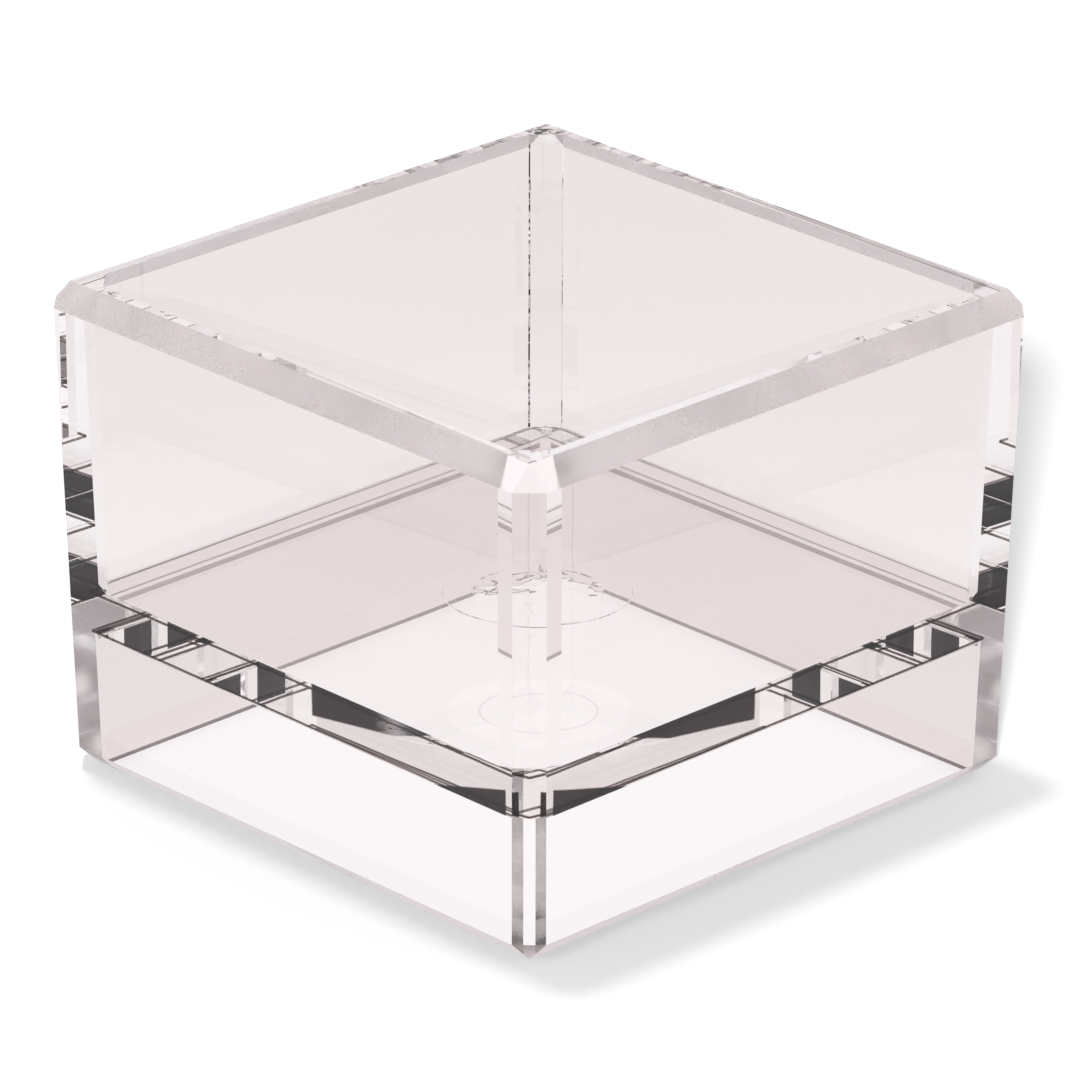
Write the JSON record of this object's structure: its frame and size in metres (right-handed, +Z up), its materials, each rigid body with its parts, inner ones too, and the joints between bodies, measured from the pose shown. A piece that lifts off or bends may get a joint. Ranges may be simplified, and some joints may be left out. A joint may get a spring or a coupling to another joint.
{
  "type": "makeup organizer tray",
  "caption": "Square clear acrylic tray with thick bevelled walls, a raised floor panel and an open hollow underneath.",
  "frame": {"origin": "centre of the base, on the plane the tray stands on", "axes": "+Z up through the middle of the tray, +X to the right and +Y to the back, both square to the walls"},
  "size_m": [0.1268, 0.1268, 0.0946],
  "materials": {
    "clear_acrylic": "clear acrylic, polished on every face",
    "corner_bead_acrylic": "clear acrylic, polished",
    "disc_acrylic": "clear acrylic, slightly hazy"
  },
  "bodies": {
    "root": {"front_wall": "clear_acrylic", "right_wall": "clear_acrylic", "back_wall": "clear_acrylic", "left_wall": "clear_acrylic", "floor_panel": "clear_acrylic", "upper_bead_front_left": "corner_bead_acrylic", "upper_bead_front_right": "corner_bead_acrylic", "upper_bead_back_right": "corner_bead_acrylic", "upper_bead_back_left": "corner_bead_acrylic", "lower_bead_front_left": "corner_bead_acrylic", "lower_bead_front_right": "corner_bead_acrylic", "lower_bead_back_right": "corner_bead_acrylic", "lower_bead_back_left": "corner_bead_acrylic", "centre_disc": "disc_acrylic"}
  },
  "joints": []
}
